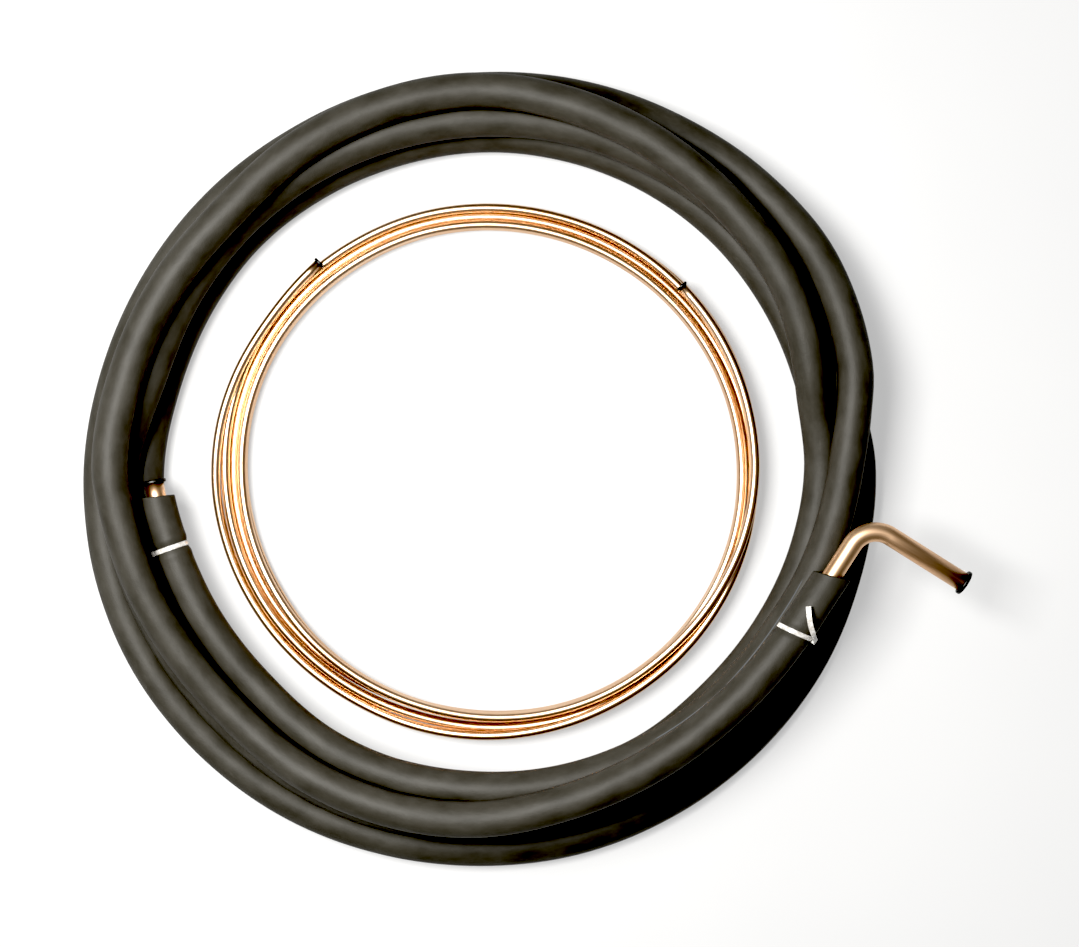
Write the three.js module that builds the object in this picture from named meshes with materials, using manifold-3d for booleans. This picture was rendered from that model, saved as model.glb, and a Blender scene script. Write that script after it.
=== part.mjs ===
import * as THREE from 'three';
import Module from 'manifold-3d';

// Copper refrigerant line set as it is shipped: a large insulated suction line wound in a loose
// coil, with a small bare liquid line coiled inside it. Millimetres, +Z up, lying on the floor.

// Suction line
const SUCTION_OD = 19.05;
const SUCTION_WALL = 1.07;
const STUB_LENGTH = 13;
const ELBOW_RUN_IN = 36;
const ELBOW_RADIUS = 27;
const ELBOW_RUN_OUT = 83;
const ELBOW_TURN_DEG = 89.5;

// Liquid line
const LIQUID_OD = 9.525;
const LIQUID_WALL = 0.81;
const LIQUID_TIP_LENGTH = 14;

// Foam sleeve on the suction line
const FOAM_WALL = 8.2;
const FOAM_BORE_CLEARANCE = 0.25;

// How the turns lie
const COIL_RADIUS = 350;
const FOAM_LAY_GAP = 0.6;
const LIQUID_LAY_GAP = 0.35;
const NEST_CLEARANCE = 15.5;
const LIQUID_COIL_SHIFT_X = 4;
const LIQUID_COIL_SHIFT_Y = -3;

// End plugs
const SUCTION_CAP_LIP = 2.9;
const SUCTION_CAP_THICK = 3.6;
const SUCTION_STEM_LENGTH = 14;
const LIQUID_CAP_LIP = 1.5;
const LIQUID_CAP_THICK = 2.6;
const LIQUID_STEM_LENGTH = 9;
const STEM_CLEARANCE = 0.25;
const CAP_SEAT_GAP = 0.2;

// Ties round the foam's ends
const TIE_WIDTH = 4.8;
const TIE_THICK = 1.3;
const TIE_BITE = 1.7;
const TIE_CLEARANCE = 0.2;
const TIE_HEAD_WIDTH = 6.4;
const TIE_HEAD_DEPTH = 5.0;
const TIE_HEAD_HEIGHT = 7.0;
const LEFT_TIE_ANGLE = 194.5;
const RIGHT_TIE_ANGLE = 1772;

// Sections of the swept tubes
const FOAM_SIDES = 12;
const BORE_SIDES = 8;
const TUBE_SIDES = 8;
const TUBE_BORE_SIDES = 6;
const COIL_STEP = 12;
const LIQUID_SIDES = 8;
const LIQUID_BORE_SIDES = 6;

const RAD = Math.PI / 180;
const FOAM_OD = SUCTION_OD + 2 * (FOAM_BORE_CLEARANCE + FOAM_WALL);
const FOAM_PITCH = FOAM_OD + FOAM_LAY_GAP;
const LIQUID_PITCH = LIQUID_OD + LIQUID_LAY_GAP;

// The insulated line's lay, in pitches: angle along the coil in degrees, distance out from the
// coil's mean radius, height above the floor row. It starts at the left end, on top of the inner
// turn, goes round four and a half times, and ends on top at the right.
const SUCTION_LAY = [
  [185, -0.49, 0.90], [195, -0.66, 0.87], [210, -0.80, 0.91], [225, -0.85, 0.92],
  [240, -0.76, 1.20], [255, -0.74, 1.50], [270, -0.76, 1.84], [285, -0.68, 1.95],
  [300, -0.57, 1.93], [315, -0.43, 1.92], [330, -0.28, 1.97], [343, 0.00, 2.00],
  [360, 0.42, 1.92], [368, 0.72, 1.87], [375, 1.03, 1.89], [390, 1.36, 1.46],
  [405, 1.405, 0.85], [420, 1.32, 0.40], [435, 1.25, 0.10], [450, 1.14, 0.00],
  [465, 1.05, 0.00], [480, 0.97, 0.00], [495, 0.97, 0.00], [510, 0.99, 0.00],
  [525, 1.07, 0.00], [540, 1.22, 0.00],

  [547, 1.27, 0.00], [555, 1.33, 0.00], [570, 1.386, 0.00], [585, 1.356, 0.00],
  [600, 1.32, 0.00], [615, 1.25, 0.00], [630, 1.205, 0.00], [645, 1.21, 0.00],
  [660, 1.19, 0.00], [675, 1.17, 0.00], [690, 1.15, 0.00], [703, 1.09, 0.03],
  [720, 0.99, 0.48], [728, 0.77, 0.79], [732, 0.66, 0.87], [736, 0.55, 0.93],
  [750, 0.45, 0.965],
  [765, 0.405, 0.97], [780, 0.27, 0.98], [795, 0.22, 0.98], [810, 0.12, 0.98],
  [825, 0.06, 0.98], [840, 0.03, 0.99], [855, 0.00, 0.985], [870, -0.02, 0.99],
  [885, 0.00, 0.995], [900, 0.44, 0.94],

  [907, 0.55, 0.83], [915, 0.56, 0.72], [930, 0.49, 0.55], [945, 0.44, 0.52],
  [960, 0.46, 0.60], [975, 0.45, 0.60], [990, 0.355, 0.53], [1005, 0.24, 0.25],
  [1020, 0.20, 0.05], [1035, 0.18, 0.00], [1050, 0.15, 0.00], [1063, 0.08, 0.00],
  [1080, 0.10, 0.00], [1088, 0.12, 0.00], [1095, 0.07, 0.00], [1110, 0.04, 0.00],
  [1125, 0.02, 0.00], [1140, -0.03, 0.00], [1155, -0.09, 0.00], [1170, -0.14, 0.00],
  [1185, -0.21, 0.00], [1200, -0.22, 0.00], [1215, -0.21, 0.00], [1230, -0.25, 0.00],
  [1245, -0.23, 0.00], [1260, -0.06, 0.00],

  [1267, -0.05, 0.00], [1275, -0.15, 0.00], [1290, -0.35, 0.00], [1305, -0.42, 0.00],
  [1320, -0.49, 0.20], [1335, -0.58, 0.46], [1350, -0.61, 0.81], [1365, -0.52, 0.93],
  [1380, -0.44, 0.90], [1395, -0.48, 0.89], [1410, -0.39, 0.94], [1423, -0.26, 0.99],
  [1440, -0.11, 1.01], [1448, -0.16, 1.24], [1452, -0.18, 1.50], [1456, -0.13, 1.75],
  [1470, 0.16, 1.975],
  [1485, 0.29, 1.97], [1500, 0.45, 1.98], [1515, 0.62, 1.95], [1530, 0.76, 1.79],
  [1545, 0.66, 1.81], [1560, 0.46, 1.91], [1575, 0.23, 1.975], [1590, 0.32, 1.94],
  [1605, 0.42, 1.93], [1620, 0.55, 1.94],

  [1627, 0.44, 1.83], [1635, 0.33, 1.73], [1650, 0.13, 1.55], [1665, 0.03, 1.47],
  [1680, 0.06, 1.80], [1695, 0.02, 2.20], [1710, -0.10, 2.64], [1725, -0.30, 2.88],
  [1740, -0.35, 2.90], [1755, -0.30, 2.91], [1770, -0.10, 2.96], [1776, 0.04, 2.98],
  [1780, 0.17, 2.99], [1783, 0.31, 3.00],
];

// The liquid line's inner column, in its own pitches out from the small coil's radius, by angle
const LIQUID_COLUMN = [
  [0, 1.00], [15, 0.90], [30, 0.69], [45, 0.45], [60, 0.21], [75, 0.05], [90, 0.00],
  [105, 0.00], [120, -0.05], [135, 0.00], [150, 0.03], [165, -0.03], [180, -0.18],
  [195, -0.285], [210, -0.39], [225, -0.44], [240, -0.475], [255, -0.39], [270, -0.10],
  [285, 0.26], [300, 0.61], [315, 0.88], [330, 1.03], [345, 1.09], [360, 1.00],
];

// The liquid line's lay: angle along the coil, pitches out from the inner column, height in
// pitches. It starts at the left tip, on top, and ends on top at the right tip.
const LIQUID_LAY = [
  [128.8, 1.95, 2.15], [145, 1.73, 2.02], [160, 2.10, 1.95], [172, 2.50, 1.65],
  [183, 2.76, 1.15], [195, 2.80, 0.55], [210, 2.72, 0.45], [225, 2.55, 0.55],
  [240, 2.40, 0.75], [255, 2.28, 1.25], [270, 1.95, 1.72], [285, 1.55, 1.95],
  [300, 1.24, 2.00], [315, 1.12, 2.00], [330, 1.10, 1.99], [345, 1.10, 1.99],
  [360, 1.10, 2.00], [375, 1.25, 1.96], [390, 1.45, 1.70], [403, 1.62, 1.44],
  [420, 1.76, 1.10], [435, 1.75, 1.01],

  [480, 1.75, 1.01], [525, 1.75, 1.01], [540, 1.74, 1.01], [555, 1.71, 1.03],
  [570, 1.67, 1.07], [585, 1.50, 1.01], [600, 1.40, 1.01], [615, 1.28, 1.01],
  [630, 1.20, 1.00], [645, 1.12, 1.00], [660, 1.10, 1.00], [705, 1.10, 1.00],
  [720, 1.10, 1.00], [735, 1.50, 0.96], [750, 1.83, 0.72], [763, 1.94, 0.45],
  [771, 1.90, 0.22], [780, 1.81, 0.08], [795, 1.76, 0.00],

  [840, 1.75, 0.00], [885, 1.75, 0.00], [900, 1.75, 0.00], [915, 1.77, 0.00],
  [930, 1.79, 0.00], [945, 1.69, 0.00], [960, 1.51, 0.00], [975, 1.36, 0.00],
  [990, 1.23, 0.00], [1005, 1.12, 0.00], [1020, 1.10, 0.00], [1065, 1.10, 0.00],
  [1080, 1.10, 0.00], [1095, 1.05, 0.05], [1110, 0.99, 0.15], [1123, 0.95, 0.30],
  [1131, 0.91, 0.41], [1140, 0.88, 0.49], [1155, 0.87, 0.50],

  [1200, 0.87, 0.50], [1245, 0.87, 0.50], [1260, 0.87, 0.50], [1275, 0.88, 0.46],
  [1290, 0.89, 0.43], [1305, 0.71, 0.20], [1320, 0.45, 0.10], [1335, 0.15, 0.00],
  [1350, 0.00, 0.00], [1365, 0.00, 0.00], [1410, 0.00, 0.00], [1440, 0.00, 0.00],
  [1500, 0.00, 0.00],

  [1560, 0.00, 0.00], [1605, 0.00, 0.00], [1620, 0.00, 0.00], [1635, -0.09, 0.15],
  [1650, -0.12, 0.50], [1665, -0.05, 0.90], [1680, 0.00, 1.01], [1695, 0.00, 1.02],
  [1710, 0.00, 1.01], [1725, 0.00, 1.01], [1770, 0.00, 1.01], [1800, 0.00, 1.01],
  [1860, 0.00, 1.01],

  [1920, 0.00, 1.01], [1965, 0.00, 1.01], [1980, 0.00, 1.01], [1995, 0.00, 1.17],
  [2010, 0.00, 1.51], [2025, 0.00, 1.91], [2040, 0.00, 2.03], [2055, 0.00, 2.04],
  [2070, 0.00, 2.02], [2085, 0.00, 2.02], [2100, 0.00, 2.02], [2115, 0.02, 2.17],
  [2130, 0.30, 2.64], [2145, 0.71, 2.95], [2160, 1.11, 3.01], [2175, 1.25, 2.98],
  [2190, 1.50, 2.73], [2203.3, 1.66, 2.62],
];

const suctionReachIn = Math.min(...SUCTION_LAY.map((s) => s[1]));
const suctionInnerEdge = COIL_RADIUS + suctionReachIn * FOAM_PITCH - FOAM_OD / 2;
const liquidReachOut = Math.max(...LIQUID_LAY.map(
  (s) => s[1] + layValue(LIQUID_COLUMN, 1, s[0] % 360),
));
const LIQUID_COIL_RADIUS = suctionInnerEdge - NEST_CLEARANCE
  - liquidReachOut * LIQUID_PITCH - LIQUID_OD / 2;

// Smooth value of one column of a lay at an angle, by cubic pieces through its points
function layValue(lay, column, angle) {
  let i = 0;
  while (i < lay.length - 2 && angle > lay[i + 1][0]) i += 1;
  const slope = (k) => {
    const a = Math.max(k - 1, 0);
    const b = Math.min(k + 1, lay.length - 1);
    return (lay[b][column] - lay[a][column]) / (lay[b][0] - lay[a][0]);
  };
  const span = lay[i + 1][0] - lay[i][0];
  const t = (angle - lay[i][0]) / span;
  const t2 = t * t;
  const t3 = t2 * t;
  return (2 * t3 - 3 * t2 + 1) * lay[i][column]
    + (t3 - 2 * t2 + t) * span * slope(i)
    + (3 * t2 - 2 * t3) * lay[i + 1][column]
    + (t3 - t2) * span * slope(i + 1);
}

// Centre line of the insulated line at an angle along its coil
function suctionPoint(angle) {
  const r = COIL_RADIUS + layValue(SUCTION_LAY, 1, angle) * FOAM_PITCH;
  const z = FOAM_OD / 2 + Math.max(layValue(SUCTION_LAY, 2, angle), 0) * FOAM_PITCH;
  return new THREE.Vector3(r * Math.cos(angle * RAD), r * Math.sin(angle * RAD), z);
}

// Centre line of the liquid line at an angle along its coil
function liquidPoint(angle) {
  const round = ((angle % 360) + 360) % 360;
  const column = layValue(LIQUID_COLUMN, 1, round);
  const out = column + layValue(LIQUID_LAY, 1, angle);
  const r = LIQUID_COIL_RADIUS + out * LIQUID_PITCH;
  const z = LIQUID_OD / 2 + Math.max(layValue(LIQUID_LAY, 2, angle), 0) * LIQUID_PITCH;
  return new THREE.Vector3(
    LIQUID_COIL_SHIFT_X + r * Math.cos(angle * RAD),
    LIQUID_COIL_SHIFT_Y + r * Math.sin(angle * RAD),
    z,
  );
}

function direction(point, angle, low, high) {
  const a = Math.max(angle - 0.5, low);
  const b = Math.min(angle + 0.5, high);
  return point(b).sub(point(a)).normalize();
}

// Rings of a coil: one at each whole step, so that turns side by side share their stations
function coilRings(point, start, end, step) {
  const angles = [start];
  for (let a = Math.ceil((start + 1) / step) * step; a < end - 1; a += step) angles.push(a);
  angles.push(end);
  return angles.map((a) => ({ at: point(a), along: direction(point, a, start, end) }));
}

// A curve that passes through stated rings only
class RingPath extends THREE.Curve {
  constructor(rings) {
    super();
    this.rings = rings;
  }

  ring(t) {
    return this.rings[Math.round(t * (this.rings.length - 1))];
  }

  getPoint(t) {
    return this.ring(t).at.clone();
  }

  getPointAt(t) {
    return this.ring(t).at.clone();
  }

  getTangent(t) {
    return this.ring(t).along.clone();
  }

  getTangentAt(t) {
    return this.ring(t).along.clone();
  }
}

function polygon(path, radius, sides) {
  for (let i = 0; i < sides; i += 1) {
    const a = (i / sides) * 2 * Math.PI;
    if (i === 0) path.moveTo(radius * Math.cos(a), radius * Math.sin(a));
    else path.lineTo(radius * Math.cos(a), radius * Math.sin(a));
  }
  path.closePath();
  return path;
}

function sweptTube(rings, outerRadius, outerSides, boreRadius, boreSides) {
  const section = polygon(new THREE.Shape(), outerRadius, outerSides);
  section.holes.push(polygon(new THREE.Path(), boreRadius, boreSides));
  return new THREE.ExtrudeGeometry(section, {
    steps: rings.length - 1,
    bevelEnabled: false,
    extrudePath: new RingPath(rings),
  });
}

// Rings of the suction tube: stub, coil, run to the elbow, elbow, run out
const foamStart = SUCTION_LAY[0][0];
const foamEnd = SUCTION_LAY[SUCTION_LAY.length - 1][0];
const foamRings = coilRings(suctionPoint, foamStart, foamEnd, COIL_STEP);
const firstRing = foamRings[0];
const lastRing = foamRings[foamRings.length - 1];
const stubEnd = {
  at: firstRing.at.clone().addScaledVector(firstRing.along, -STUB_LENGTH),
  along: firstRing.along,
};
const suctionRings = [stubEnd, ...foamRings];
const legOne = lastRing.along.clone();
const bendSide = new THREE.Vector3(legOne.y, -legOne.x, 0).normalize();
const bendStart = lastRing.at.clone().addScaledVector(legOne, ELBOW_RUN_IN);
const bendCentre = bendStart.clone().addScaledVector(bendSide, ELBOW_RADIUS);
const BEND_RINGS = 9;
for (let i = 0; i <= BEND_RINGS; i += 1) {
  const a = (i / BEND_RINGS) * ELBOW_TURN_DEG * RAD;
  suctionRings.push({
    at: bendCentre.clone()
      .addScaledVector(bendSide, -ELBOW_RADIUS * Math.cos(a))
      .addScaledVector(legOne, ELBOW_RADIUS * Math.sin(a)),
    along: legOne.clone().multiplyScalar(Math.cos(a)).addScaledVector(bendSide, Math.sin(a)),
  });
}
const bendEnd = suctionRings[suctionRings.length - 1];
const elbowEnd = {
  at: bendEnd.at.clone().addScaledVector(bendEnd.along, ELBOW_RUN_OUT),
  along: bendEnd.along,
};
suctionRings.push(elbowEnd);

// Rings of the liquid tube: its coil with a short straight tip at each end
const tipAngle = LIQUID_TIP_LENGTH / LIQUID_COIL_RADIUS / RAD;
const liquidStart = LIQUID_LAY[0][0] + tipAngle;
const liquidEnd = LIQUID_LAY[LIQUID_LAY.length - 1][0] - tipAngle;
const liquidCoil = coilRings(liquidPoint, liquidStart, liquidEnd, COIL_STEP);

function tip(ring, outward) {
  const at = ring.at.clone().addScaledVector(ring.along, outward * LIQUID_TIP_LENGTH);
  return { at, along: ring.along };
}

const liquidRings = [
  tip(liquidCoil[0], -1),
  ...liquidCoil,
  tip(liquidCoil[liquidCoil.length - 1], 1),
];

const suctionBore = SUCTION_OD / 2 - SUCTION_WALL;
const liquidBore = LIQUID_OD / 2 - LIQUID_WALL;
const foamBore = (SUCTION_OD / 2 + FOAM_BORE_CLEARANCE) / Math.cos(Math.PI / BORE_SIDES);

const suctionGeometry = sweptTube(
  suctionRings, SUCTION_OD / 2, TUBE_SIDES, suctionBore, TUBE_BORE_SIDES,
);
const foamBody = sweptTube(foamRings, FOAM_OD / 2, FOAM_SIDES, foamBore, BORE_SIDES);
const liquidGeometry = sweptTube(
  liquidRings, LIQUID_OD / 2, LIQUID_SIDES, liquidBore, LIQUID_BORE_SIDES,
);

// Turns a shape made along +Z so that it points along a direction at a place
function placed(geometry, at, along, up) {
  const z = along.clone().normalize();
  const guide = up || new THREE.Vector3(0, 0, 1);
  const x = guide.clone().addScaledVector(z, -guide.dot(z)).normalize();
  const y = new THREE.Vector3().crossVectors(z, x);
  const m = new THREE.Matrix4().makeBasis(x, y, z);
  m.setPosition(at);
  geometry.applyMatrix4(m);
  return geometry;
}

// A plug: a flange outside the tube's end and a stem in its bore
function plug(tubeOD, bore, boreSides, lip, thick, stem, ring, outward) {
  const stemRadius = bore * Math.cos(Math.PI / boreSides) - STEM_CLEARANCE;
  const flangeRadius = tubeOD / 2 + lip;
  const profile = [
    new THREE.Vector2(0, -stem),
    new THREE.Vector2(stemRadius * 0.85, -stem),
    new THREE.Vector2(stemRadius, -stem * 0.8),
    new THREE.Vector2(stemRadius, CAP_SEAT_GAP),
    new THREE.Vector2(flangeRadius, CAP_SEAT_GAP),
    new THREE.Vector2(flangeRadius, CAP_SEAT_GAP + thick * 0.8),
    new THREE.Vector2(flangeRadius * 0.94, CAP_SEAT_GAP + thick),
    new THREE.Vector2(0, CAP_SEAT_GAP + thick),
  ];
  const along = ring.along.clone().multiplyScalar(outward);
  const turned = new THREE.LatheGeometry(profile, 20);
  turned.rotateX(Math.PI / 2);
  return placed(turned, ring.at, along);
}

const stubCap = plug(
  SUCTION_OD, suctionBore, TUBE_BORE_SIDES, SUCTION_CAP_LIP, SUCTION_CAP_THICK,
  SUCTION_STEM_LENGTH, stubEnd, -1,
);
const elbowCap = plug(
  SUCTION_OD, suctionBore, TUBE_BORE_SIDES, SUCTION_CAP_LIP, SUCTION_CAP_THICK,
  SUCTION_STEM_LENGTH, elbowEnd, 1,
);
const liquidLeftCap = plug(
  LIQUID_OD, liquidBore, LIQUID_BORE_SIDES, LIQUID_CAP_LIP, LIQUID_CAP_THICK,
  LIQUID_STEM_LENGTH, liquidRings[0], -1,
);
const liquidRightCap = plug(
  LIQUID_OD, liquidBore, LIQUID_BORE_SIDES, LIQUID_CAP_LIP, LIQUID_CAP_THICK,
  LIQUID_STEM_LENGTH, liquidRings[liquidRings.length - 1], 1,
);

const wasm = await Module();
wasm.setup();

function toSolid(geometry) {
  const source = geometry.index ? geometry.toNonIndexed() : geometry;
  const position = source.getAttribute('position');
  const found = new Map();
  const points = [];
  const corner = [];
  for (let i = 0; i < position.count; i += 1) {
    const p = [position.getX(i), position.getY(i), position.getZ(i)];
    const key = p.map((v) => Math.round(v * 1e4)).join(' ');
    if (!found.has(key)) {
      found.set(key, points.length / 3);
      points.push(...p);
    }
    corner.push(found.get(key));
  }
  const triangles = [];
  for (let i = 0; i < corner.length; i += 3) {
    const [a, b, c] = [corner[i], corner[i + 1], corner[i + 2]];
    if (a !== b && b !== c && c !== a) triangles.push(a, b, c);
  }
  return new wasm.Manifold(new wasm.Mesh({
    numProp: 3,
    vertProperties: new Float32Array(points),
    triVerts: new Uint32Array(triangles),
  }));
}

function fromSolid(solid) {
  const mesh = solid.getMesh();
  const geometry = new THREE.BufferGeometry();
  const position = new THREE.BufferAttribute(new Float32Array(mesh.vertProperties), 3);
  geometry.setAttribute('position', position);
  geometry.setIndex(new THREE.BufferAttribute(new Uint32Array(mesh.triVerts), 1));
  geometry.computeVertexNormals();
  return geometry;
}

function band(inner, outer, width, sides) {
  const shape = polygon(new THREE.Shape(), outer, sides);
  shape.holes.push(polygon(new THREE.Path(), inner, sides));
  const geometry = new THREE.ExtrudeGeometry(shape, { depth: width, bevelEnabled: false });
  geometry.translate(0, 0, -width / 2);
  return geometry;
}

// Each tie sits in the groove that it presses into the foam
const grooveFloor = FOAM_OD / 2 - TIE_BITE;
const tieInner = grooveFloor + TIE_CLEARANCE;
const tieOuter = tieInner + TIE_THICK;
const BAND_SIDES = 18;

function tieAt(angle, tail) {
  const at = suctionPoint(angle);
  const along = direction(suctionPoint, angle, foamStart, foamEnd);
  const out = new THREE.Vector3(Math.cos(angle * RAD), Math.sin(angle * RAD), 0);
  const grooveWidth = TIE_WIDTH + 2 * TIE_CLEARANCE;
  const reach = FOAM_OD / 2 + 3;
  const groove = toSolid(placed(
    band(grooveFloor, reach, grooveWidth, BAND_SIDES), at, along, out,
  ));
  let solid = toSolid(placed(
    band(tieInner, tieOuter, TIE_WIDTH, BAND_SIDES), at, along, out,
  ));
  // The head stands on the band at the coil's outer side
  const headFoot = FOAM_OD / 2 + TIE_CLEARANCE;
  const neckLow = tieInner + TIE_THICK * 0.3;
  const neck = new THREE.BoxGeometry(headFoot + 0.5 - neckLow, TIE_HEAD_HEIGHT * 0.6, TIE_WIDTH);
  neck.translate((headFoot + 0.5 + neckLow) / 2, 0, 0);
  const head = new THREE.BoxGeometry(TIE_HEAD_DEPTH, TIE_HEAD_HEIGHT, TIE_HEAD_WIDTH);
  head.translate(headFoot + TIE_HEAD_DEPTH / 2, 0, 0);
  solid = solid.add(toSolid(placed(neck, at, along, out)));
  solid = solid.add(toSolid(placed(head, at, along, out)));
  if (tail) solid = solid.add(toSolid(tail(at, along, out, headFoot)));
  return { groove, solid };
}

// Free end of the right tie: it leaves the head upwards and curls back over the sleeve
function looseTail(at, along, out, headFoot) {
  const up = new THREE.Vector3(0, 0, 1);
  const rise = FOAM_OD / 2;
  const points = [
    [headFoot + TIE_HEAD_DEPTH * 0.5, 0, 0],
    [headFoot + TIE_HEAD_DEPTH * 0.5, rise * 0.45, 0.5],
    [headFoot * 0.75, rise + 4, 4],
    [headFoot * 0.2, rise + 8, 11],
    [-headFoot * 0.25, rise + 8, 20],
  ].map(([o, u, a]) => at.clone()
    .addScaledVector(out, o).addScaledVector(up, u).addScaledVector(along, a));
  const curve = new THREE.CatmullRomCurve3(points);
  const w = TIE_WIDTH * 0.48;
  const t = TIE_THICK * 0.42;
  const steps = 14;
  const corners = [];
  for (let i = 0; i <= steps; i += 1) {
    const p = curve.getPoint(i / steps);
    const d = curve.getTangent(i / steps);
    const wide = along.clone().addScaledVector(d, -along.dot(d)).normalize();
    const thick = new THREE.Vector3().crossVectors(d, wide);
    for (const [a, b] of [[w, t], [-w, t], [-w, -t], [w, -t]]) {
      corners.push(p.clone().addScaledVector(wide, a).addScaledVector(thick, b));
    }
  }
  const faces = [];
  const quad = (a, b, c, d) => faces.push(a, b, c, a, c, d);
  quad(3, 2, 1, 0);
  for (let i = 0; i < steps; i += 1) {
    for (let j = 0; j < 4; j += 1) {
      const k = (j + 1) % 4;
      quad(4 * i + j, 4 * i + k, 4 * (i + 1) + k, 4 * (i + 1) + j);
    }
  }
  const e = 4 * steps;
  quad(e, e + 1, e + 2, e + 3);
  const geometry = new THREE.BufferGeometry().setFromPoints(corners);
  geometry.setIndex(faces);
  return geometry;
}

const leftTie = tieAt(LEFT_TIE_ANGLE, null);
const rightTie = tieAt(RIGHT_TIE_ANGLE, looseTail);
const foamSolid = toSolid(foamBody).subtract(leftTie.groove).subtract(rightTie.groove);

const copper = () => new THREE.MeshStandardMaterial({
  color: 0xc98a5e, metalness: 1, roughness: 0.35,
});
const foam = () => new THREE.MeshStandardMaterial({
  color: 0x25231f, metalness: 0, roughness: 0.9,
});
const plastic = () => new THREE.MeshStandardMaterial({
  color: 0x151515, metalness: 0, roughness: 0.5,
});
const nylon = () => new THREE.MeshStandardMaterial({
  color: 0xd9d6cf, metalness: 0, roughness: 0.35,
});

const group = new THREE.Group();
group.name = 'mini_split_line_set';

function piece(name, geometry, material) {
  const mesh = new THREE.Mesh(geometry, material);
  mesh.name = name;
  group.add(mesh);
}

piece('foam_sleeve', fromSolid(foamSolid), foam());
piece('suction_tube', suctionGeometry, copper());
piece('suction_cap_stub', stubCap, plastic());
piece('suction_cap_elbow', elbowCap, plastic());
piece('liquid_tube', liquidGeometry, copper());
piece('liquid_cap_left', liquidLeftCap, plastic());
piece('liquid_cap_right', liquidRightCap, plastic());
piece('foam_tie_left', fromSolid(leftTie.solid), nylon());
piece('foam_tie_right', fromSolid(rightTie.solid), nylon());

// The origin is the middle of the underside of the whole object's box
const bounds = new THREE.Box3().setFromObject(group);
const middle = bounds.getCenter(new THREE.Vector3());
for (const mesh of group.children) {
  mesh.geometry.translate(-middle.x, -middle.y, -bounds.min.z);
}

export default group;
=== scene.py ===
import bpy
import math
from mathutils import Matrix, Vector, noise


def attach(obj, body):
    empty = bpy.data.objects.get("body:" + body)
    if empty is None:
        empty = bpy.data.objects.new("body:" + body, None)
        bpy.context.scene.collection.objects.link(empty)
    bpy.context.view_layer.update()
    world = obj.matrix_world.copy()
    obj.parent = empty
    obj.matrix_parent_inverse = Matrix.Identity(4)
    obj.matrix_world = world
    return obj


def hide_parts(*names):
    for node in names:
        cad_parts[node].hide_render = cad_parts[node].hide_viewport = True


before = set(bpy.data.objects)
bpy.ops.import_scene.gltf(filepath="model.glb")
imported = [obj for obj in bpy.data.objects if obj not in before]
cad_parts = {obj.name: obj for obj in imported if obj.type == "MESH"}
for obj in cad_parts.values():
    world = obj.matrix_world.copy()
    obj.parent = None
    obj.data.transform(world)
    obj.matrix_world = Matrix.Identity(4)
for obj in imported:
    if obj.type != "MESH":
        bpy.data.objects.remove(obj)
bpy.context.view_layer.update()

# Sizes, in millimetres, as in the CAD source
SUCTION_OD = 19.05
SUCTION_WALL = 1.07
STUB_LENGTH = 13.0
ELBOW_RUN_IN = 36.0
ELBOW_RADIUS = 27.0
ELBOW_RUN_OUT = 83.0
ELBOW_TURN_DEG = 89.5
LIQUID_OD = 9.525
LIQUID_WALL = 0.81
LIQUID_TIP_LENGTH = 14.0
FOAM_WALL = 8.2
FOAM_BORE_CLEARANCE = 0.25
COIL_RADIUS = 350.0
FOAM_LAY_GAP = 0.6
LIQUID_LAY_GAP = 0.35
NEST_CLEARANCE = 15.5
LIQUID_COIL_SHIFT = (4.0, -3.0)
SUCTION_CAP_LIP = 2.9
SUCTION_CAP_THICK = 3.6
SUCTION_STEM_LENGTH = 14.0
LIQUID_CAP_LIP = 1.5
LIQUID_CAP_THICK = 2.6
LIQUID_STEM_LENGTH = 9.0
TIE_WIDTH = 4.8
TIE_THICK = 1.3
TIE_BITE = 1.7
TIE_CLEARANCE = 0.25
TIE_HEAD_WIDTH = 6.4
TIE_HEAD_DEPTH = 5.0
TIE_HEAD_HEIGHT = 7.0
LEFT_TIE_ANGLE = 194.5
RIGHT_TIE_ANGLE = 1772.0
FOAM_OD = SUCTION_OD + 2 * (FOAM_BORE_CLEARANCE + FOAM_WALL)
FOAM_PITCH = FOAM_OD + FOAM_LAY_GAP
LIQUID_PITCH = LIQUID_OD + LIQUID_LAY_GAP

# How finely the scene draws the lines: degrees of coil between rings, and sides round a tube
FOAM_STEP = 1.6
TUBE_STEP = 3.2
LIQUID_STEP = 1.5
FOAM_SIDES = 32
SUCTION_SIDES = 28
LIQUID_SIDES = 18
PLUG_SIDES = 48
ELBOW_STEPS = 24
STRAP_STEPS = 72
TAIL_STEPS = 12

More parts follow.
